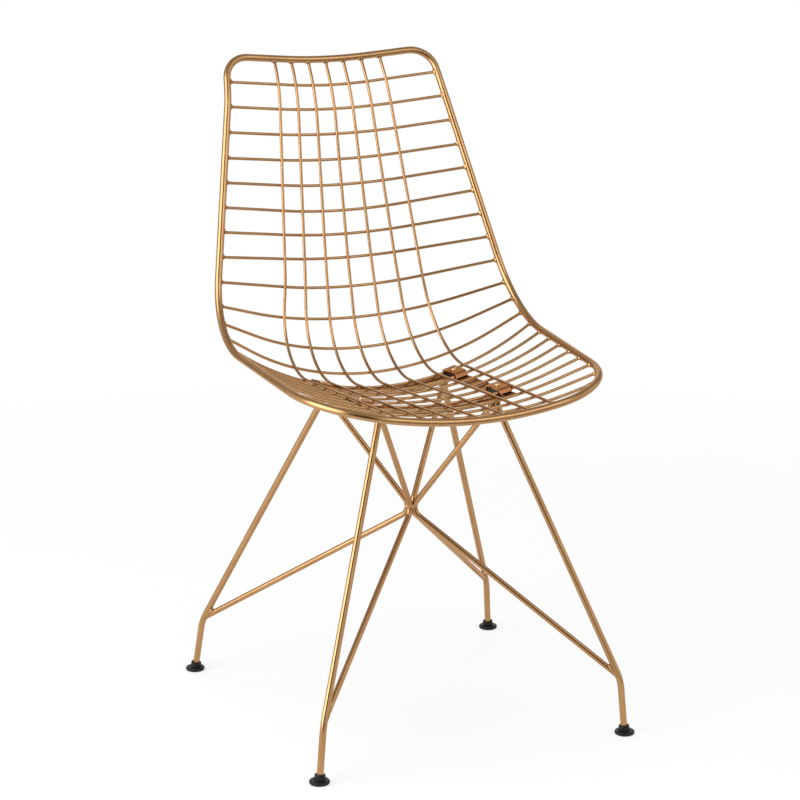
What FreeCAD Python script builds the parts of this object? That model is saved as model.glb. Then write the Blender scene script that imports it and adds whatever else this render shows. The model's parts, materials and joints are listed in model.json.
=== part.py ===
"""Wire side chair: a welded wire bucket seat on a braced base of bent rods.

Millimetres, +Z up. The sitter faces -Y and the sitter's left is +X.
All sizes below are measured from the middle of the four feet, on the floor.
The finished chair is moved so that zero lies under the middle of its depth.
"""
import FreeCAD, Part
import math
import os

V = FreeCAD.Vector
STEP = 0.5

# Rods and wires
rim_d = 9.6
wire_d = 4.0
leg_d = 8.7
brace_d = 7.6
weld_set = 0.3

# Rim: corners of the bent rod on the sitter's left, and its bend radii
top_middle = V(0, 289, 825.5)
top_corner = V(148, 269, 839.8)
shoulder = V(156, 240, 787)
hip = V(218, 128, 487)
front_corner = V(202, -214, 466)
front_middle = V(0, -235, 434)
top_bow_r = 360.0
top_corner_r = 35.0
shoulder_r = 142.0
hip_r = 127.0
front_corner_r = 112.0
front_bow_r = 570.0

# Long wires: bends of the middle wire and of the outermost one
long_wires = 7
top_pitch = 25.5
front_pitch = 33.7
middle_bends = (V(0, 253, 781), V(0, 204.7, 569.5), V(0, 162, 412.5))
outer_bends = (V(78, 253.5, 801), V(99.5, 181, 543), V(116, 157, 432))
middle_radii = (184.0, 353.0, 103.0)
outer_radii = (160.0, 353.0, 105.0)
top_seat = V(0, -1.2, -1.6)
front_seat = V(0, 1.2, 1.8)

# Cross wires: first row, then (number of gaps, gap) down the middle wire and down the rim
first_on_middle = 35.3
middle_gaps = ((5, 34.6), (2, 32.2), (1, 39.5), (2, 42.2), (1, 45.0), (1, 48.2), (8, 34.2))
first_on_rim = 175.2
rim_gaps = ((3, 34.9), (6, 33.5), (3, 27.1))
seat_end_y = 71.8
seat_end_pitch = 32.5
rows = 21
rim_rows = 12

# Flat strips under the seat
cross_strip_w = 30.0
side_strip_w = 18.0
side_strip_over = 2.0
strip_t = 3.0
strip_drop = 3.0
strip_forward = 5.0
side_strip_x = 95.5
strip_hole_d = 4.2

# Clips over two neighbouring rows, with rubber pads and screws
rear_clip_rows = (13, 14)
front_clip_rows = (17, 18)
clip_l = 45.5
clip_w = 17.5
clip_t = 2.2
clip_rise = 5.2
clip_drop = 1.0
clip_lean = 3.5
clip_bend_r = 3.6
clip_hole_d = 4.4
pad_gap = 0.15
pad_inset = 0.8
screw_d = 4.0
screw_head_d = 7.6
screw_head_h = 1.8
screw_end = 1.2
recess_l = 4.0
recess_w = 1.0
recess_depth = 1.1

# Base: feet, knees, leg tops and the meeting point of the braces
foot_y = 222.0
front_foot_x = 212.0
rear_foot_x = 224.0
knee_z = 74.0
front_knee = V(205.5, -220, knee_z)
rear_knee = V(216, 211.5, knee_z)
front_leg_top = V(81.8, -101.7, 422)
rear_leg_top = V(87.1, 76, 409)
top_spread_x = 5.2
top_spread_y = 6.1
hub = V(0, -14.8, 271)
front_hub_cross = V(-0.93, 1.4, 0)
rear_hub_cross = V(-1.75, -1.4, 0)
stub_bend_r = 12.0
knee_r = 70.0
brace_bend_r = 15.0
brace_end_up = 4.5

# Glides
flange_d = 26.0
flange_t = 5.0
flange_edge_r = 2.2
collar_d = 13.9
collar_flare = 0.4
collar_top = 12.0
collar_edge_r = 0.8
socket_floor = 3.4
socket_gap = 0.3
leg_end_gap = 0.2

depth_middle = 27.4


def unit(v):
    return v * (1.0 / v.Length)


def mirrored(v):
    return V(-v.x, v.y, v.z)


def bend(before, corner, after, radius):
    """Start, middle and end of the arc that rounds a corner."""
    a = unit(before - corner)
    b = unit(after - corner)
    half = a.getAngle(b) / 2
    inward = unit(a + b)
    reach = radius / math.tan(half)
    centre = corner + inward * (radius / math.sin(half))
    return corner + a * reach, centre - inward * radius, corner + b * reach


def bent_path(corners, radii):
    """Edges of a rod that runs straight between corners and is bent at each one."""
    edges = []
    here = corners[0]
    for i, radius in enumerate(radii, 1):
        start, middle, end = bend(corners[i - 1], corners[i], corners[i + 1], radius)
        edges.append(Part.LineSegment(here, start).toShape())
        edges.append(Part.Arc(start, middle, end).toShape())
        here = end
    edges.append(Part.LineSegment(here, corners[-1]).toShape())
    return edges


def rod(edges, diameter):
    """Round rod along a path."""
    first = edges[0]
    start = first.valueAt(first.FirstParameter)
    along = first.tangentAt(first.FirstParameter)
    ring = Part.Wire(Part.makeCircle(diameter / 2, start, along))
    return Part.Wire(edges).makePipeShell([ring], True, False)


def points_on(edges):
    return Part.Wire(edges).discretize(Distance=STEP)


def nearest_x(points, x):
    return min(points, key=lambda p: abs(p.x - x))


def stations(first, gaps):
    """Distances along a path: the first one, then runs of equal gaps."""
    found = [first]
    for count, gap in gaps:
        for _ in range(count):
            found.append(found[-1] + gap)
    return found


def rim_edges():
    """One closed rod: it starts and ends halfway down the left side of the back."""
    start = (shoulder + hip) * 0.5
    left_down = [hip, front_corner]
    right_up = [mirrored(front_corner), mirrored(hip), mirrored(shoulder), mirrored(top_corner)]
    corners = [start] + left_down + [front_middle] + right_up
    corners += [top_middle, top_corner, shoulder, start]
    radii = [hip_r, front_corner_r, front_bow_r, front_corner_r, hip_r]
    radii += [shoulder_r, top_corner_r, top_bow_r, top_corner_r, shoulder_r]
    return bent_path(corners, radii)


def rim_side_edges():
    """The left half of the rim, from the top's middle to the front's middle."""
    corners = [top_middle, top_corner, shoulder, hip, front_corner, front_middle]
    return bent_path(corners, [top_corner_r, shoulder_r, hip_r, front_corner_r])


def long_wire_edges(place, rim_points):
    """Long wire by its place from the middle (-3 to 3); the dish grows with the square."""
    share = place / (long_wires // 2)
    dish = share * share
    top = nearest_x([p for p in rim_points if p.z > 780], place * top_pitch)
    front = nearest_x([p for p in rim_points if p.y < -150], place * front_pitch)
    corners = [top + top_seat]
    for middle, outer in zip(middle_bends, outer_bends):
        corner = middle + (outer - middle) * dish
        corners.append(V(outer.x * share, corner.y, corner.z))
    corners.append(front + front_seat)
    radii = [m + (o - m) * dish for m, o in zip(middle_radii, outer_radii)]
    return bent_path(corners, radii)


def row_ends(side_points):
    """Points on the rim where the cross wires end, on the sitter's left."""
    ends = [side_points[round(s / STEP)] for s in stations(first_on_rim, rim_gaps)]
    seat = [p for p in side_points if p.z < hip.z + 12]
    for row in range(rim_rows + 1, rows):
        y = seat_end_y - seat_end_pitch * (row - rim_rows)
        ends.append(min(seat, key=lambda p: abs(p.y - y)))
    return ends


def cross_wire_edges(end, keel_point, keel_along, outer_points):
    """A dish that rests behind the long wires, then runs straight on to the rim."""
    out = V(0, -keel_along.z, keel_along.y)
    middle = keel_point + out * (wire_d - weld_set)
    rise = unit(V(0, end.y - middle.y, end.z - middle.z))
    height = (end - middle).dot(rise)
    across = V(1, 0, 0).cross(rise)
    touch = min(outer_points, key=lambda p: abs((p - keel_point).dot(across)))
    lift = (touch - keel_point).dot(rise)
    radius = (touch.x ** 2 + lift ** 2) / (2 * lift)
    full = (end.x ** 2 + height ** 2) / (2 * height)
    radius = min(radius, 0.995 * full)
    reach = math.hypot(end.x, radius - height)
    turn = math.atan2(end.x, radius - height) - math.acos(radius / reach)
    corner = middle - rise * (radius * (1 / math.cos(turn) - 1))
    return bent_path([mirrored(end), corner, end], [radius])


def build_shell():
    """Rim, long wires and cross wires; also the cross wires' paths."""
    edges = rim_edges()
    rim = rod(edges, rim_d)
    rim_points = points_on(edges)
    shapes = {"rim": rim}
    reach = long_wires // 2
    paths = [long_wire_edges(i, rim_points) for i in range(-reach, reach + 1)]
    for i, path in enumerate(paths, 1):
        shapes["long_wire_%d" % i] = cut_by(rod(path, wire_d), [rim])
    keel = points_on(paths[reach])
    outer = points_on(paths[-1])
    ends = row_ends(points_on(rim_side_edges()))
    row_paths = []
    for end, s in zip(ends, stations(first_on_middle, middle_gaps)):
        i = round(s / STEP)
        along = unit(keel[i + 1] - keel[i - 1])
        row_paths.append(cross_wire_edges(end, keel[i], along, outer))
    for i, path in enumerate(row_paths, 1):
        shapes["cross_wire_%02d" % i] = cut_by(rod(path, wire_d), [rim])
    return shapes, row_paths


def main_solid(shape):
    """The largest solid left by a cut."""
    return max(shape.Solids, key=lambda s: s.Volume)


def cut_by(shape, others):
    """What is left of a shape outside its neighbours."""
    for other in others:
        shape = shape.cut(other)
    return main_solid(shape)


def seat_spot(row_paths, pair, x):
    """Middle point between two rows at x, with outward, rearward and upward directions."""
    found = []
    for row in pair:
        points = points_on(row_paths[row - 1])
        here = nearest_x(points, x)
        found.append((here, unit(nearest_x(points, x + 8) - nearest_x(points, x - 8))))
    (rear, rear_out), (front, front_out) = found
    back = unit(rear - front)
    out = rear_out + front_out
    out = unit(out - back * out.dot(back))
    return (rear + front) * 0.5, out, back, out.cross(back)


def placed(shape, spot):
    """Shape drawn with its own x outward, y rearward and z upward, moved to a spot."""
    origin, out, back, up = spot
    moved = shape.copy()
    moved.Placement = FreeCAD.Placement(origin, FreeCAD.Rotation(out, back, up, "XYZ"))
    return moved


def block(x, y, z0, z1):
    """Box centred on x and y between two heights."""
    return Part.makeBox(x, y, z1 - z0, V(-x / 2, -y / 2, z0))


def cross_strip(path):
    """Flat strip under the seat, bent to the dish of the cross wire above it."""
    circle = path[1].Curve
    inner = circle.Radius + strip_drop
    outer = inner + strip_t
    middle = nearest_x(points_on(path), 0)
    down = unit(V(0, middle.y - circle.Center.y, middle.z - circle.Center.z))
    half = math.asin((side_strip_x - side_strip_w / 3) / inner)

    def at(radius, angle):
        return circle.Center + down * (radius * math.cos(angle)) + V(radius * math.sin(angle), 0, 0)

    edges = [Part.Arc(at(inner, -half), at(inner, 0), at(inner, half)).toShape(),
             Part.LineSegment(at(inner, half), at(outer, half)).toShape(),
             Part.Arc(at(outer, half), at(outer, 0), at(outer, -half)).toShape(),
             Part.LineSegment(at(outer, -half), at(inner, -half)).toShape()]
    forward = down.cross(V(1, 0, 0))
    face = Part.Face(Part.Wire(edges))
    face.translate(forward * (strip_forward - cross_strip_w / 2))
    return face.extrude(forward * cross_strip_w)


def side_strip(row_paths):
    """Flat strip along the seat's left side that carries the two clips."""
    pair = (rear_clip_rows[0], front_clip_rows[1])
    rear, front = [nearest_x(points_on(row_paths[row - 1]), side_strip_x) for row in pair]
    length = (rear - front).Length + cross_strip_w + 2 * side_strip_over
    plate = block(side_strip_w, length, -strip_drop - strip_t, -strip_drop)
    plate.translate(V(0, -strip_forward, 0))
    strip = placed(plate, seat_spot(row_paths, pair, side_strip_x))
    for rows_held in (rear_clip_rows, front_clip_rows):
        spot = seat_spot(row_paths, rows_held, side_strip_x)
        strip = strip.cut(placed(drill(strip_hole_d), spot))
    return strip


def drill(diameter):
    return Part.makeCylinder(diameter / 2, 40, V(0, 0, -20))


def clip_outline(half_l, top, radius):
    """Edges of an arch seen from the side: two leaning feet and a flat top."""
    lean = clip_lean / clip_rise
    foot = half_l + lean * clip_drop
    bow = half_l - lean * top
    corners = [V(0, -foot, -clip_drop), V(0, -bow, top), V(0, bow, top), V(0, foot, -clip_drop)]
    return bent_path(corners, [radius, radius])


def clip():
    """Bridge plate over two cross wires, with a hole for its screw."""
    side = math.hypot(clip_lean, clip_rise) / clip_rise
    outer = clip_outline(clip_l / 2, clip_rise, clip_bend_r + clip_t)
    inner = clip_outline(clip_l / 2 - clip_t * side, clip_rise - clip_t, clip_bend_r)
    arches = [Part.Face(Part.Wire(edges + [closing(edges)])) for edges in (outer, inner)]
    solids = [face.extrude(V(clip_w, 0, 0)) for face in arches]
    bridge = solids[0].cut(solids[1])
    bridge.translate(V(-clip_w / 2, 0, 0))
    return bridge.cut(drill(clip_hole_d))


def closing(edges):
    """Straight edge from the end of a path back to its start."""
    start = edges[0].valueAt(edges[0].FirstParameter)
    end = edges[-1].valueAt(edges[-1].LastParameter)
    return Part.LineSegment(end, start).toShape()


def pad():
    """Rubber block under a clip: a sole on the strip and a core that fills the arch."""
    width = clip_w - 2 * pad_inset
    sole = block(width, clip_l - 2 * pad_inset, -strip_drop, -clip_drop - pad_gap)
    length = clip_l - 4 * clip_t - 2 * clip_lean
    core = block(width, length, -strip_drop, clip_rise - clip_t - pad_gap)
    return sole.fuse(core).removeSplitter().cut(drill(clip_hole_d))


def screw():
    """Pan-head screw with a cross recess, standing on the clip."""
    top = clip_rise + screw_head_h
    head = Part.makeCylinder(screw_head_d / 2, screw_head_h, V(0, 0, clip_rise))
    upper_edge = [e for e in head.Edges if e.BoundBox.ZMin > top - 0.01]
    head = head.makeFillet(screw_head_h * 0.7, upper_edge)
    for x, y in ((recess_l, recess_w), (recess_w, recess_l)):
        head = head.cut(block(x, y, top - recess_depth, top + 1))
    bottom = -strip_drop - strip_t - screw_end
    shank = Part.makeCylinder(screw_d / 2, clip_rise - bottom, V(0, 0, bottom))
    return head.fuse(shank).removeSplitter()


def build_clips(row_paths, strips):
    """Clips, grooved pads and screws on both sides; the screws form one group."""
    shapes = {}
    screws = []
    for end, pair in (("front", front_clip_rows), ("rear", rear_clip_rows)):
        spot = seat_spot(row_paths, pair, side_strip_x)
        grooves = [rod(row_paths[row - 1], wire_d + 2 * pad_gap) for row in pair]
        grooved = cut_by(placed(pad(), spot), grooves + strips)
        for kind, left in (("clip", placed(clip(), spot)), ("pad", grooved)):
            shapes["%s_left_%s" % (end, kind)] = left
            shapes["%s_right_%s" % (end, kind)] = flipped(left)
        left = placed(screw(), spot)
        screws += [left, flipped(left)]
    shapes["clip_screws"] = Part.makeCompound(screws)
    return shapes


def flipped(shape):
    """The same shape on the sitter's right."""
    return shape.mirror(V(0, 0, 0), V(1, 0, 0))


def build_strips(row_paths):
    """The welded frame under the seat: two cross strips that butt against the side strips."""
    left = side_strip(row_paths)
    shapes = {"left_side_strip": left, "right_side_strip": flipped(left)}
    sides = list(shapes.values())
    for end, row in (("rear", rear_clip_rows[0]), ("front", front_clip_rows[1])):
        shapes[end + "_cross_strip"] = cut_by(cross_strip(row_paths[row - 1]), sides)
    return shapes


def leg(foot, knee, top, stub_end):
    """Leg rod: upright ankle in the glide, long slant, short stub under the strip."""
    low = foot + (knee - foot) * ((socket_floor + leg_end_gap) / knee.z)
    return rod(bent_path([low, knee, top, stub_end], [knee_r, stub_bend_r]), leg_d)


def brace(knee, leg_top, top, stub_end, cross):
    """V-shaped brace rod: from beside the leg's stub to the middle and back to the knee."""
    middle = hub + cross
    end = knee + (leg_top - knee) * (brace_end_up / (leg_top.z - knee.z))
    return rod(bent_path([stub_end, top, middle, end], [stub_bend_r, brace_bend_r]), brace_d)


def glide(foot, knee):
    """Foot cap: a round flange flat on the floor and a leaning cup round the leg's end."""
    r = flange_d / 2
    corners = [V(0, 0, 0), V(r, 0, 0), V(r, 0, flange_t), V(0, 0, flange_t)]
    edges = bent_path(corners, [flange_edge_r, flange_edge_r])
    profile = Part.Face(Part.Wire(edges + [closing(edges)]))
    flange = profile.revolve(V(0, 0, 0), V(0, 0, 1), 360)
    flange.translate(foot)
    along = unit(knee - foot)
    cup = Part.makeCone(collar_d / 2 + collar_flare, collar_d / 2, (collar_top - 2) / along.z,
                        foot + along * (2 / along.z), along)
    upper_edge = [e for e in cup.Edges if e.BoundBox.ZMin > collar_top - 3]
    cup = cup.makeFillet(collar_edge_r, upper_edge)
    socket = Part.makeCylinder(leg_d / 2 + socket_gap, 40, foot + along * (socket_floor / along.z), along)
    return flange.fuse(cup).removeSplitter().cut(socket)


def stub_end(top, path):
    """Point inside the strip's thickness straight above a rod's top bend."""
    above = nearest_x(points_on(path), top.x)
    return V(top.x, top.y, above.z - strip_drop - strip_t / 2)


def build_base(row_paths, strips):
    """Legs, braces and glides at the four corners."""
    shapes = {}
    front = ("front", -1, front_foot_x, front_knee, front_leg_top, front_clip_rows[1], front_hub_cross)
    rear = ("rear", 1, rear_foot_x, rear_knee, rear_leg_top, rear_clip_rows[0], rear_hub_cross)
    for end, side_y, foot_x, knee, leg_top, row, cross in (front, rear):
        foot = V(foot_x, side_y * foot_y, 0)
        brace_top = leg_top - V(top_spread_x, side_y * top_spread_y, 0)
        path = row_paths[row - 1]
        leg_rod = leg(foot, knee, leg_top, stub_end(leg_top, path))
        brace_rod = brace(knee, leg_top, brace_top, stub_end(brace_top, path), cross)
        made = {"leg": cut_by(leg_rod, strips),
                "brace": cut_by(brace_rod, strips + [leg_rod]),
                "glide": glide(foot, knee)}
        for kind, shape in made.items():
            shapes["%s_left_%s" % (end, kind)] = shape
            shapes["%s_right_%s" % (end, kind)] = flipped(shape)
    return shapes


def build():
    shapes, row_paths = build_shell()
    strips = build_strips(row_paths)
    shapes.update(strips)
    shapes.update(build_clips(row_paths, list(strips.values())))
    shapes.update(build_base(row_paths, list(strips.values())))
    return shapes


os.makedirs("parts", exist_ok=True)
for name, shape in build().items():
    shape.translate(V(0, -depth_middle, 0))
    shape.exportStep("parts/%s.step" % name)
    print(name, shape.isValid(), len(shape.Solids), round(shape.Volume))
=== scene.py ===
# %% [markdown]
# # A wire side chair in copper lacquer
# The chair is a dished shell of thin welded wire inside one bent rim, clipped on a base of slanted
# rods. Its solid pieces come from the CAD model, which is loaded as a fixed frame. In this lesson the
# frame gets its finishes, the welds that hold it together, a plain studio and a camera.

import json
import math

import bmesh
import bpy
from mathutils import Matrix, Vector, noise
from mathutils.bvhtree import BVHTree
from mathutils.kdtree import KDTree


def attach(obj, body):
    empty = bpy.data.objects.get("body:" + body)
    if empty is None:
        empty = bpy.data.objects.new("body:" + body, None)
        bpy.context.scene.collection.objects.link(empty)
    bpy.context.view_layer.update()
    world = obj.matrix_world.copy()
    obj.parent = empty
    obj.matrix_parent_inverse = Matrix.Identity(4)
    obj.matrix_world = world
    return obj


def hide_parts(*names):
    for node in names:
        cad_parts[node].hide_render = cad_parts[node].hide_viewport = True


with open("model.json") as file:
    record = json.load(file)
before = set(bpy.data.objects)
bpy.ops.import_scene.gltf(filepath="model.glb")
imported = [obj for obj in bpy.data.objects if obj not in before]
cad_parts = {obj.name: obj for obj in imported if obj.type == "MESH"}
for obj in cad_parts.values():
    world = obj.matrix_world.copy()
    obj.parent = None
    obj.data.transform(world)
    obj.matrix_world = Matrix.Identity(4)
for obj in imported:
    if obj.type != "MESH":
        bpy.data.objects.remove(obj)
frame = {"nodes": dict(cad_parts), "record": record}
nodes = frame["nodes"]
scene = bpy.context.scene
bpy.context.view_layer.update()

# %% [markdown]
# ## Shader maths as Python
# A finish is a small calculation: noise plus noise, times a factor, into a socket. Blender keeps such a
# calculation as a tree of nodes. Placing the nodes by hand hides the sum that they stand for, so one
# class wraps an output socket and turns `a * 0.2 + b` into Math nodes. A second class holds a node tree
# and makes every other kind of node with a single method. A third adds what a finish needs.


# %% The socket that can calculate
class Value:
    """An output socket; arithmetic with numbers or other values adds Math nodes."""

    def __init__(self, tree, socket):
        self.tree = tree
        self.socket = socket

    def maths(self, operation, first, second):
        made = self.tree.nodes.new("ShaderNodeMath")
        made.operation = operation
        for place, term in zip(made.inputs, (first, second)):
            plug(self.tree, place, term)
        return Value(self.tree, made.outputs[0])

    def __add__(self, other):
        return self.maths("ADD", self, other)

    def __radd__(self, other):
        return self.maths("ADD", other, self)

    def __sub__(self, other):
        return self.maths("SUBTRACT", self, other)

    def __rsub__(self, other):
        return self.maths("SUBTRACT", other, self)

    def __mul__(self, other):
        return self.maths("MULTIPLY", self, other)

    def __rmul__(self, other):
        return self.maths("MULTIPLY", other, self)


def plug(tree, place, term):
    """Links a value to a socket, or writes a plain number, colour or vector into it."""
    if isinstance(term, Value):
        tree.links.new(term.socket, place)
    else:
        place.default_value = term


print("values can add, subtract and multiply")


# %% Node trees and finishes
class NodeBench:
    """A node tree under construction."""

    def __init__(self, tree):
        self.tree = tree

    def node(self, kind, settings=None, inputs=None, output=0):
        """Makes a node, sets it up, fills its sockets and hands back one output."""
        made = self.tree.nodes.new(kind)
        for key, value in (settings or {}).items():
            setattr(made, key, value)
        for key, term in (inputs or {}).items():
            plug(self.tree, made.inputs[key], term)
        return Value(self.tree, made.outputs[output])


class Finish(NodeBench):
    """One material under construction, with its Principled shader."""

    def __init__(self, name):
        self.material = bpy.data.materials.new(name)
        self.material.use_nodes = True
        super().__init__(self.material.node_tree)
        self.shader = self.tree.nodes["Principled BSDF"]
        self.place = self.node("ShaderNodeTexCoord", output="Object")

    def grain(self, size, detail=2.0):
        """Noise from about 0 to 1, with features of the given size in metres."""
        sockets = {"Vector": self.place, "Scale": 1.0 / size, "Detail": detail}
        return self.node("ShaderNodeTexNoise", inputs=sockets)

    def blend(self, factor, first, second):
        """Mixes two colours; on a Mix node, the colours are sockets 6 and 7, and the result is output 2."""
        settings = {"data_type": "RGBA", "clamp_factor": True}
        return self.node("ShaderNodeMix", settings, {0: factor, 6: first, 7: second}, output=2)

    def bump(self, height, depth, strength):
        """Small relief of the given depth in metres."""
        sockets = {"Height": height, "Distance": depth, "Strength": strength}
        return self.node("ShaderNodeBump", inputs=sockets)

    def surface(self, **sockets):
        """Fills sockets of the Principled shader, named with _ for a space."""
        for key, term in sockets.items():
            plug(self.tree, self.shader.inputs[key.replace("_", " ")], term)
        return self.material


print("finishes can be made with", [m for m in vars(Finish) if not m.startswith("_")])

# %% [markdown]
# ## Copper lacquer
# The rods and wires are steel with a metallic lacquer: fine metal flakes in a clear, slightly coloured
# coat. Plain brown paint would lose the metal, and bare polished copper would mirror the room sharply.
# So the shader is fully metallic, a little rough, with a thin coat on top. Three sizes of noise add what
# a sprayed finish shows: a slow drift between gold and copper, tiny flakes and a faint orange peel. Metal
# turns white at its edges, and a thin wire that is seen along its length is nearly all edge. A warm
# specular tint keeps its colour there.


# %% Copper lacquer
def copper_lacquer(name, gold, copper, coat):
    finish = Finish(name)
    drift = finish.grain(size=0.045, detail=3.0)
    flakes = finish.grain(size=0.0005, detail=1.0)
    peel = finish.grain(size=0.0022, detail=2.0)
    colour = finish.blend(drift * 1.6 + flakes * 0.1 - 0.38, gold, copper)
    rough = peel * 0.06 + flakes * 0.03 + 0.22
    normal = finish.bump(peel * 0.8 + flakes * 0.2, depth=0.00010, strength=0.05)
    return finish.surface(Base_Color=colour, Roughness=rough, Normal=normal, Metallic=1.0,
                          Coat_Weight=coat, Coat_Roughness=0.10, Specular_Tint=(0.9, 0.70, 0.50, 1))


lacquer = copper_lacquer("copper_lacquer", gold=(0.495, 0.276, 0.114, 1),
                         copper=(0.395, 0.204, 0.076, 1), coat=0.5)
clip_lacquer = copper_lacquer("clip_lacquer", gold=(0.45, 0.190, 0.075, 1),
                              copper=(0.36, 0.140, 0.048, 1), coat=0.05)
print("made", lacquer.name, "and", clip_lacquer.name)

# %% [markdown]
# ## Bright screws, black caps and rubber
# The clip screws are gold-plated steel, fine-turned on the head. The foot caps are moulded black plastic,
# with the faint satin of a sparked mould. The pads under the clips are dull rubber. Flat colours would do
# from afar, but close up each needs its own grain in colour, roughness and relief. Plastic and rubber are
# both black mouldings that differ in shine and grain only, so one function makes the two.


# %% Plated steel
def plated_steel():
    finish = Finish("plated_steel")
    streak = finish.grain(size=0.0006, detail=3.0)
    haze = finish.grain(size=0.004)
    colour = finish.blend(haze, (0.80, 0.58, 0.26, 1), (0.86, 0.68, 0.38, 1))
    normal = finish.bump(streak, depth=0.00005, strength=0.3)
    return finish.surface(Base_Color=colour, Roughness=streak * 0.12 + 0.20, Normal=normal, Metallic=1.0)


steel = plated_steel()
print("made", steel.name)

# %% Moulded plastic and rubber
soot = (0.007, 0.0065, 0.006, 1)
dust = 2.2
dusty_soot = tuple(dust * c for c in soot[:3]) + (1,)


def moulded_black(name, roughness, texture, depth, gloss):
    finish = Finish(name)
    spark = finish.grain(size=texture, detail=2.0)
    cloud = finish.grain(size=0.012, detail=3.0)
    colour = finish.blend(cloud * 0.9 - 0.15, soot, dusty_soot)
    rough = spark * 0.14 + cloud * 0.12 + roughness
    normal = finish.bump(spark, depth=depth, strength=0.5)
    return finish.surface(Base_Color=colour, Roughness=rough, Normal=normal, Specular_IOR_Level=gloss)


cap_plastic = moulded_black("cap_plastic", roughness=0.28, texture=0.0005, depth=0.00005, gloss=0.22)
pad_rubber = moulded_black("pad_rubber", roughness=0.62, texture=0.0011, depth=0.00012, gloss=0.4)
print("made", cap_plastic.name, "and", pad_rubber.name)

# %% [markdown]
# ## Dressing the CAD nodes
# The record says which slot each node has. The finishes could be given out node by node, but with 54
# nodes one is soon forgotten. So a small table leads from slot to finish, and every node is filled from it.

# %% Dress the nodes
finishes = {"copper_paint": lacquer, "clip_paint": clip_lacquer, "screw_steel": steel,
            "glide_plastic": cap_plastic, "pad_rubber": pad_rubber}
for part in frame["record"]["subparts"]:
    mesh = nodes[part["node"]].data
    mesh.materials.clear()
    mesh.materials.append(finishes[part["material_slot"]])

# %% [markdown]
# ## Where the wires meet
# A welded wire shell has a small nugget of metal at every crossing. The places could be typed in as a
# list, but measured ones stay right when the frame changes. To find them, the script needs the middle
# line of each wire. The rings of a wire's mesh give it: each vertex, moved in along its normal by the
# wire's radius, lies on the middle line. Only the cut ends differ, where the middle of the cut is used.
# The line is then walked in short steps, and the nearest pair of steps of two wires is a crossing. Wires
# that just touch have middle lines two radii apart. The CAD wires are set into each other, as in a real
# weld, so that most of them are nearer.

# %% Surfaces to weld on
seam = 1e-6


def closed_copy(name):
    """A node's mesh with the seams between its faces closed."""
    shape = bmesh.new()
    shape.from_mesh(nodes[name].data)
    bmesh.ops.remove_doubles(shape, verts=shape.verts, dist=seam)
    shape.normal_update()
    return shape


def surface_of(names):
    """One search tree over the surfaces of several nodes."""
    points, faces = [], []
    for name in names:
        shape = closed_copy(name)
        shape.verts.index_update()
        first = len(points)
        points += [v.co.copy() for v in shape.verts]
        faces += [[first + v.index for v in f.verts] for f in shape.faces]
        shape.free()
    return BVHTree.FromPolygons(points, faces)


strip_names = [n for n in nodes if n.endswith("_strip")]
rim_surface = surface_of(["rim"])
strip_surface = surface_of(strip_names)
print("rods end on the rim and on", len(strip_names), "strips")

# %% Middle lines
wire_radius = 0.002
touch = 0.0003  # a vertex this near to another rod belongs to a cut end
walking_step = 0.0005
bend_y, bend_z = -0.1, 0.7  # the point above the seat that the long wires bend round


def middle_line(name, radius, order, ends_on):
    """Points in short steps down the middle of a rod, sorted by a rule that suits its run."""
    shape = closed_copy(name)
    at_end = [v for v in shape.verts if ends_on.find_nearest(v.co, touch)[0] is not None]
    marked = set(at_end)
    line = [v.co - v.normal * radius for v in shape.verts if v not in marked]
    cuts = []
    cut_width = 4 * radius
    for vert in at_end:
        near = [cut for cut in cuts if (cut[0] - vert.co).length < cut_width]
        if near:
            near[0].append(vert.co.copy())
        else:
            cuts.append([vert.co.copy()])
    line += [sum(cut, Vector()) / len(cut) for cut in cuts]
    shape.free()
    line.sort(key=order)
    steps = []
    for a, b in zip(line, line[1:]):
        count = max(1, round((b - a).length / walking_step))
        steps += [a.lerp(b, i / count) for i in range(count)]
    return steps


def round_the_bend(point):
    """Angle about that point, which grows from the front end of a long wire to its top."""
    return math.atan2(point.z - bend_z, point.y - bend_y)


def across(point):
    return point.x


wires = [n for n in nodes if "_wire_" in n]
long_lines = [middle_line(n, wire_radius, round_the_bend, rim_surface)
              for n in sorted(wires) if n.startswith("long")]
cross_lines = [middle_line(n, wire_radius, across, rim_surface)
               for n in sorted(wires) if n.startswith("cross")]
print(len(long_lines), "long wires,", len(cross_lines), "cross wires")


# %% Crossings
def crossing(first, second):
    """Nearest points of two middle lines."""
    tree = KDTree(len(second))
    for i, point in enumerate(second):
        tree.insert(point, i)
    tree.balance()
    pairs = [(point, *tree.find(point)) for point in first]
    point, nearest, _, _ = min(pairs, key=lambda pair: pair[3])
    return point, nearest


crossings = [crossing(cross, long) for cross in cross_lines for long in long_lines]
gaps = [1000 * (a - b).length for a, b in crossings]
print(len(crossings), "crossings, middle lines", round(min(gaps), 2), "to", round(max(gaps), 2), "mm apart")

# %% [markdown]
# ## Nuggets at the crossings
# Resistance welding squeezes a little metal out into the four corners of a crossing. A remesh could melt
# the wires together, but the CAD rods have to stay as they are. So a flattened ball between the two wires
# fills those corners, and noise makes every one of them different. All of them go into one mesh, because
# they are one job of one welding machine.

# %% One nugget
nugget_unevenness = 0.22
nugget_noise_scale = 420
nugget_noise_reach = 0.004


def nugget(shape, middle, away, size, thickness):
    """Flattened, uneven ball across the gap between two rods."""
    turn = away.to_track_quat("Z", "Y").to_matrix().to_4x4()
    ball = bmesh.ops.create_icosphere(shape, subdivisions=2, radius=1.0)["verts"]
    stretch = Matrix.Diagonal((size, size, thickness, 1.0))
    for vert in ball:
        place = middle + vert.co * nugget_noise_reach
        swell = 1.0 + nugget_unevenness * noise.noise(place * nugget_noise_scale)
        vert.co = middle + turn @ (stretch @ (vert.co * swell))


print("nuggets are uneven by up to", round(100 * nugget_unevenness), "percent")


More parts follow.
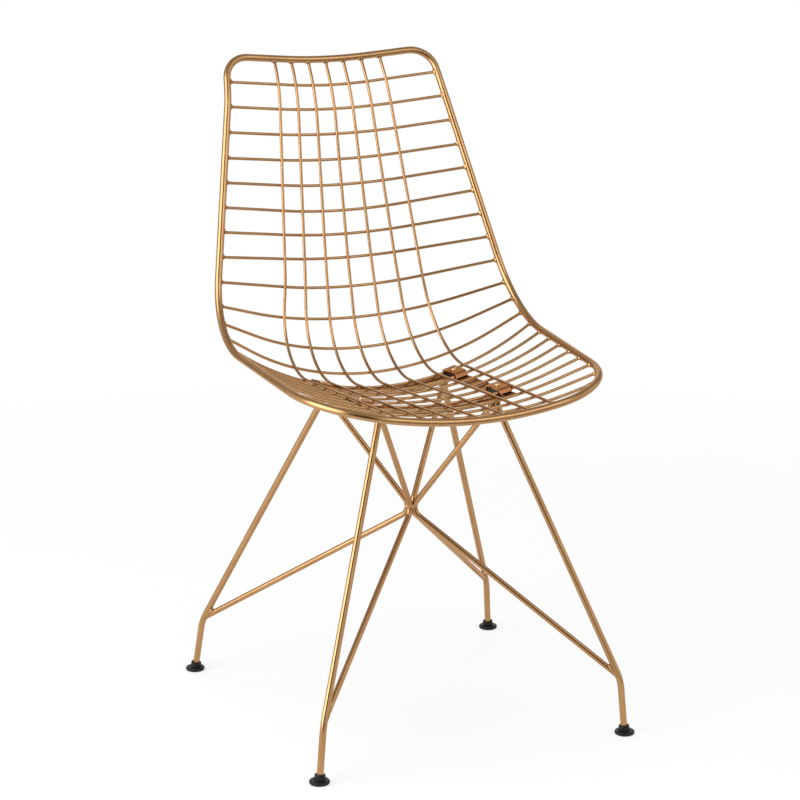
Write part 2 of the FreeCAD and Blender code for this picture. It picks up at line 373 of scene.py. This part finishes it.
# %% Nuggets on the shell
def new_piece(name, mesh, finish):
    """A smooth-shaded piece that rides with the chair."""
    mesh.shade_smooth()
    mesh.materials.append(finish)
    piece = bpy.data.objects.new(name, mesh)
    scene.collection.objects.link(piece)
    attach(piece, "root")
    print(name, len(mesh.polygons), "faces")
    return piece


def weld_piece(name, metal):
    """Turns finished weld metal into a lacquered piece."""
    mesh = bpy.data.meshes.new(name)
    bmesh.ops.recalc_face_normals(metal, faces=metal.faces)
    metal.to_mesh(mesh)
    metal.free()
    new_piece(name, mesh, lacquer)


shell_metal = bmesh.new()
for a, b in crossings:
    nugget(shell_metal, (a + b) / 2, a - b, size=0.0023, thickness=0.0011)
weld_piece("crossing_welds", shell_metal)

# %% [markdown]
# ## Fillets round the rod ends
# Where a rod stands on another one, weld metal runs round its end as a small fillet. A Bevel modifier
# can't make it, because the two rods are separate meshes. But the CAD rods are cut to the surface that
# they meet, so the edge of the cut is the path of the weld. At each point of that edge two directions
# count: up the rod's side, and out over the surface below. A curved strip between them, with its edges
# sunk in both surfaces, makes the fillet. In a sharp corner the metal runs further.


# %% Edges of the cuts
def cut_edges(name, base):
    """Rings round a rod's cut ends, each a list of (point, side's normal, base's normal)."""
    shape = closed_copy(name)
    near = {v for v in shape.verts if base.find_nearest(v.co, touch)[0] is not None}
    ends = {f for f in shape.faces if all(v in near for v in f.verts)}
    beside = {}
    for edge in shape.edges:
        if len(edge.link_faces) == 2 and len(ends.intersection(edge.link_faces)) == 1:
            for vert in edge.verts:
                beside.setdefault(vert, []).append(edge.other_vert(vert))
    rings = []
    while beside:
        vert = next(iter(beside))
        loop = []
        while vert in beside:
            loop.append(vert)
            onward = [v for v in beside.pop(vert) if v in beside]
            vert = onward[0] if onward else None
        ring = []
        for vert in loop:
            sides = [f.normal for f in vert.link_faces if f not in ends]
            ring.append((vert.co.copy(), sum(sides, Vector()).normalized(), base.find_nearest(vert.co)[1]))
        rings.append(ring)
    shape.free()
    return rings


print("a wire has", len(cut_edges(wires[0], rim_surface)), "cut ends on the rim")

# %% One fillet
sunk = 0.00012  # depth of the strip's edges in both surfaces
sharpest_corner = 0.5  # radians; a sharper corner counts as this one
corner_reach, longest_reach = 0.75, 2.2  # in sizes of the fillet
ragged, ragged_scale = 0.25, 600  # how far the edges wander, and how often in a metre
fullness, fullness_change, fullness_scale = 0.40, 0.08, 1100  # how far the crown fills the corner
shoulder = 0.62  # place of the rows beside the crown, between it and the edges


def turned_to(direction, goal):
    """The direction or its opposite, whichever leans towards the goal."""
    return direction if direction.dot(goal) > 0 else -direction


def fillet(metal, ring, size):
    """Closed strip of weld metal along a ring."""
    rows = []
    for i, (point, side, ground) in enumerate(ring):
        along = (ring[(i + 1) % len(ring)][0] - ring[i - 1][0]).normalized()
        up = turned_to(along.cross(side), ground)
        out = turned_to(along.cross(ground), side)
        sharp = math.sin(max(up.angle(out), sharpest_corner) / 2)
        reach = size * min(corner_reach / sharp, longest_reach)
        reach *= 1.0 + ragged * noise.noise(point * ragged_scale)
        full = fullness + fullness_change * noise.noise(point * fullness_scale)
        crown = point + (up + out) * reach * full
        high, low = point + up * reach, point + out * reach
        profile = [high - side * sunk, high.lerp(crown, shoulder), crown.lerp(low, 1 - shoulder),
                   low - ground * sunk, point - (side + ground) * 2 * sunk]
        rows.append([metal.verts.new(p) for p in profile])
    for i, row in enumerate(rows):
        for j in range(len(row)):
            metal.faces.new((rows[i - 1][j], row[j], row[j - 1], rows[i - 1][j - 1]))


print("fillets sink", round(1000 * sunk, 2), "mm into both surfaces")


# %% Fillets at the rim, the strips and the knees
def fillets(name, rods, base, size):
    """One piece with the fillets of all rods that end on a base."""
    metal = bmesh.new()
    for rod in rods:
        for ring in cut_edges(rod, base):
            fillet(metal, ring, size)
    weld_piece(name, metal)


corners = [end + side for end in ("front_", "rear_") for side in ("left_", "right_")]
stub_rods = [corner + kind for corner in corners for kind in ("leg", "brace")]
cross_strips = [n for n in strip_names if "cross" in n]
side_strips = [n for n in strip_names if "side" in n]
fillets("rim_welds", wires, rim_surface, size=0.0026)
fillets("stub_welds", stub_rods, strip_surface, size=0.0018)
fillets("strip_welds", cross_strips, surface_of(side_strips), size=0.0011)
for corner in corners:
    fillets(corner + "knee_weld", [corner + "brace"], surface_of([corner + "leg"]), size=0.0024)

# %% [markdown]
# ## The knot of the braces
# The four braces bend round one another in the middle of the base and are welded where they touch. It
# would be easy to hide the place under one big ball, but four lumps leave the bends open to view. The
# same two steps as for the wires find the places and put metal there.

# %% Knot welds
brace_radius = 0.0038


def upwards(point):
    return point.z


brace_lines = {c: middle_line(c + "brace", brace_radius, upwards, strip_surface) for c in corners}
knot_metal = bmesh.new()
for one, other in (("front_left_", "rear_left_"), ("front_right_", "rear_right_"),
                   ("front_left_", "front_right_"), ("rear_left_", "rear_right_")):
    a, b = crossing(brace_lines[one], brace_lines[other])
    print(one, other, "middle lines", round(1000 * (a - b).length, 2), "mm apart")
    nugget(knot_metal, (a + b) / 2, a - b, size=0.0052, thickness=0.0030)
weld_piece("knot_welds", knot_metal)

# %% [markdown]
# ## Rubber pads
# Each clip presses the wires on a moulded rubber pad, which has soft edges and gives a little. A Bevel
# modifier stumbles over the thin triangles of a CAD mesh. A voxel remesh of the block, smoothed a few
# times, rounds all edges and corners alike.

# %% Rubber pads
pad_voxel = 0.0005
pad_smoothing, pad_smoothing_rounds = 0.5, 3


def rounded_pad(name):
    block = bpy.data.objects.new("pad_block", nodes[name].data.copy())
    scene.collection.objects.link(block)
    remesh = block.modifiers.new("even_grid", "REMESH")
    remesh.mode = "VOXEL"
    remesh.voxel_size = pad_voxel
    smooth = block.modifiers.new("soft_edges", "SMOOTH")
    smooth.factor = pad_smoothing
    smooth.iterations = pad_smoothing_rounds
    graph = bpy.context.evaluated_depsgraph_get()
    mesh = bpy.data.meshes.new_from_object(block.evaluated_get(graph))
    bpy.data.objects.remove(block)
    mesh.name = name + "_rubber"
    mesh.materials.clear()
    pad = new_piece(name + "_rubber", mesh, pad_rubber)
    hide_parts(name)


for corner in corners:
    rounded_pad(corner + "pad")

# %% [markdown]
# ## A plain studio
# The floor is a pale sheet. A sheet that is only lit turns grey at the edges, and one that only glows
# loses the shadow. So the camera sees a mix: a white glow that grows with the distance from the chair,
# over diffuse paper that keeps the soft shadow. Reflections get a small share of the glow. The world is
# white to the camera and in reflections, and gives a low, even light to everything else.

# %% Floor
scene.view_settings.view_transform = "Standard"
white = (1, 1, 1, 1)
floor_size = 12.0
floor_gap = 0.0003
glow_at_chair, glow_per_metre, glow_mirrored = 0.62, 0.2, 0.15


def flat_sheet(name, width, height, where, material):
    """A rectangle of stage material, lying flat until it is turned."""
    mesh = bpy.data.meshes.new(name)
    w, h = width / 2, height / 2
    mesh.from_pydata([(-w, -h, 0), (w, -h, 0), (w, h, 0), (-w, h, 0)], [], [(0, 1, 2, 3)])
    mesh.materials.append(material)
    sheet = bpy.data.objects.new(name, mesh)
    scene.collection.objects.link(sheet)
    sheet.location = where
    return sheet


def studio_paper():
    finish = Finish("studio_paper")
    finish.surface(Base_Color=(0.88, 0.88, 0.88, 1), Roughness=0.9)
    paper = Value(finish.tree, finish.shader.outputs[0])
    glow = finish.node("ShaderNodeEmission", inputs={"Color": white, "Strength": 1.0})
    seen = finish.node("ShaderNodeLightPath", output="Is Camera Ray")
    mirrored = finish.node("ShaderNodeLightPath", output="Is Glossy Ray")
    reach = finish.node("ShaderNodeVectorMath", {"operation": "LENGTH"}, {0: finish.place}, output="Value")
    growing = reach * glow_per_metre + glow_at_chair
    share = finish.node("ShaderNodeMath", {"operation": "MINIMUM"}, {0: growing, 1: 1.0})
    factor = seen * share + mirrored * glow_mirrored
    mixed = finish.node("ShaderNodeMixShader", inputs={0: factor, 1: paper, 2: glow})
    plug(finish.tree, finish.tree.nodes["Material Output"].inputs["Surface"], mixed)
    return finish.material


floor = flat_sheet("studio_floor", floor_size, floor_size, (0, 0, -floor_gap), studio_paper())
print(floor.name, "is", floor_size, "m wide")

# %% World
even_light = 0.5


def white_world():
    world = bpy.data.worlds.new("studio_world")
    world.use_nodes = True
    bench = NodeBench(world.node_tree)
    camera_ray = bench.node("ShaderNodeLightPath", output="Is Camera Ray")
    glossy_ray = bench.node("ShaderNodeLightPath", output="Is Glossy Ray")
    through_ray = bench.node("ShaderNodeLightPath", output="Is Transmission Ray")
    seen = camera_ray + glossy_ray + through_ray
    background = bench.tree.nodes["Background"]
    plug(bench.tree, background.inputs["Color"], white)
    plug(bench.tree, background.inputs["Strength"], seen * (1 - even_light) + even_light)
    return world


scene.world = white_world()
print(scene.world.name, "gives an even light of", even_light)

# %% [markdown]
# ## Lamps
# Large rectangular lamps stand for soft boxes: a tall one on the camera's left that reaches down to the
# floor, a dimmer one high on its right, and one above that is kept out of the reflections. Small lamps
# would leave hard glints. These are far larger than the rods, so that each rod shows a soft streak. A
# lamp's brightness in a mirror is its power over pi times its area, so the power is worked out from the
# brightness that is wanted.

# %% Soft boxes
seat_middle = Vector((0.0, 0.0, 0.45))


def around(azimuth, distance, height):
    """A place by azimuth in degrees (0 behind the chair, 90 on the sitter's left)."""
    angle = math.radians(azimuth)
    return Vector((math.sin(angle) * distance, math.cos(angle) * distance, height))


def facing(where, target):
    return (target - where).to_track_quat("-Z", "Y").to_euler()


def soft_box(name, where, width, height, brightness, mirrored=True):
    lamp = bpy.data.lights.new(name, "AREA")
    lamp.shape = "RECTANGLE"
    lamp.size = width
    lamp.size_y = height
    lamp.energy = brightness * math.pi * width * height
    box = bpy.data.objects.new(name, lamp)
    scene.collection.objects.link(box)
    box.location = where
    box.rotation_euler = facing(where, seat_middle)
    box.visible_glossy = mirrored
    print(name, round(lamp.energy), "W")


soft_box("key_left", around(-101, 2.7, 1.7), width=2.4, height=2.9, brightness=3.7)
soft_box("fill_right", around(152, 2.6, 2.6), width=2.2, height=1.5, brightness=1.9)
soft_box("overhead", Vector((0.0, 0.4, 3.2)), width=1.8, height=1.8, brightness=2.9, mirrored=False)

# %% [markdown]
# ## Camera
# The photograph was taken from the chair's front right, a little above the seat, from about 3.3 m. A lens
# could be guessed by eye, but then the legs never line up. Instead the photograph's own perspective gives
# the focal length in pixels, which is turned into a lens for a 36 mm sensor. The small shift sets the
# chair where it stands in the picture.

# %% Camera
picture = 800
focal_pixels = 2509.0
view_from = Vector((-1.2508, -2.9397, 1.2110))
view_to = Vector((0.0, 0.0137, 0.394))
axis_column, axis_row = 394.7, 408.5

lens = bpy.data.cameras.new("chair_camera")
lens.sensor_width = 36.0
lens.lens = focal_pixels / picture * lens.sensor_width
lens.shift_x = (picture / 2 - axis_column) / picture
lens.shift_y = (axis_row - picture / 2) / picture
lens.clip_end = 50.0
camera = bpy.data.objects.new("chair_camera", lens)
scene.collection.objects.link(camera)
camera.location = view_from
camera.rotation_euler = facing(view_from, view_to)
scene.camera = camera
print("lens", round(lens.lens, 1), "mm at", round((view_to - view_from).length, 2), "m")

# %% [markdown]
# ## The dark sides of the studio
# Bright metal needs something dark to reflect, or it looks flat. The room behind the camera is unlit,
# and so are the boards of its floor. The ceiling is dim, as are a stretch of wall behind the sitter's
# left shoulder and a corner behind the right one. Each shows on the rods as a dark line or side. A whole
# room could be modelled, but plain grey cards do the same, one of them lying down. They are seen in
# reflections only.


# %% Grey cards
def grey_card(name, where, width, height, brightness, upright=True):
    finish = Finish(name)
    grey = (brightness, brightness, brightness, 1)
    finish.surface(Base_Color=(0, 0, 0, 1), Roughness=1.0, Specular_IOR_Level=0.0,
                   Emission_Color=grey, Emission_Strength=1.0)
    card = flat_sheet(name, width, height, where, finish.material)
    if upright:
        card.rotation_euler = facing(where, seat_middle)
    card.visible_camera = False
    card.visible_diffuse = False
    card.visible_shadow = False
    print(name, "has a brightness of", brightness)


grey_card("unlit_room", around(-148, 4.1, 1.9), width=3.0, height=4.4, brightness=0.0)
grey_card("dark_boards", Vector((-0.4, -3.1, 0.002)), width=5.0, height=4.3, brightness=0.12, upright=False)
grey_card("dim_ceiling", Vector((0.0, 0.0, 3.4)), width=10.0, height=10.0, brightness=0.5)
grey_card("dim_wall", around(62, 2.8, 1.7), width=1.7, height=2.0, brightness=0.4)
grey_card("dim_corner", around(-22, 2.8, 0.85), width=1.4, height=1.6, brightness=0.25)

# %% [markdown]
